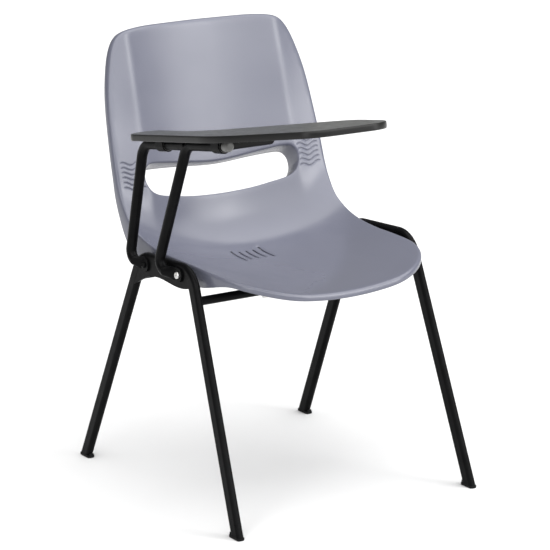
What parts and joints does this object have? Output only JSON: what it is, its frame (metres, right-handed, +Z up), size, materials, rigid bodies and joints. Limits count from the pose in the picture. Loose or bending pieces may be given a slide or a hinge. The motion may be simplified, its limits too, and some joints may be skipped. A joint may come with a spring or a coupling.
{
  "type": "student desk chair",
  "caption": "Plastic shell chair on two oval-tube side frames, with a writing tablet that flips up beside the seat on a lengthwise hinge rail.",
  "frame": {"origin": "on the floor, under the middle of the whole chair's box, tablet included; the seat's mid-plane is at X = 24.4 mm", "axes": "+Z up; the chair faces -Y; +X is the sitter's left; the tablet arm is on the -X side"},
  "size_m": [0.5672, 0.7384, 0.812],
  "materials": {
    "shell": "satin moulded polypropylene",
    "frame": "semi-gloss black powder coat",
    "black_plastic": "matt",
    "dark_plastic": "matt",
    "grey_plastic": "matt",
    "nylon": "satin",
    "zinc": "bright zinc plate",
    "laminate": "grey high-pressure laminate on particle board",
    "edge": "matt moulded edge"
  },
  "bodies": {
    "frame": {"seat_shell": "shell", "side_frame_right": "frame", "side_frame_left": "frame", "front_crossbar": "frame", "rear_crossbar": "frame", "foot_front_right": "black_plastic", "foot_front_left": "black_plastic", "foot_rear_right": "black_plastic", "foot_rear_left": "black_plastic", "seat_screws": "zinc", "seat_washers": "zinc", "arm_side_plate": "frame", "arm_backing_plate": "frame", "arm_tube_front": "frame", "arm_tube_rear": "frame", "arm_bolt_front": "zinc", "arm_bolt_rear": "frame", "arm_nuts": "zinc", "rail_end_plug": "grey_plastic", "support_arm": "frame", "support_sleeve": "dark_plastic"},
    "tablet": {"tablet_board": "laminate", "tablet_edge_band": "edge", "hinge_clamp_rear": "frame", "hinge_clamp_front": "frame", "hinge_liner_rear": "nylon", "hinge_liner_front": "nylon", "clamp_screws": "zinc"}
  },
  "joints": [
    {"name": "tablet_flip", "type": "hinge", "parent": "frame", "child": "tablet", "pos_m": [-0.2276, 0.0819, 0.6525], "axis": [0, -0.9865, 0.164], "range_deg": [0, 92]}
  ]
}
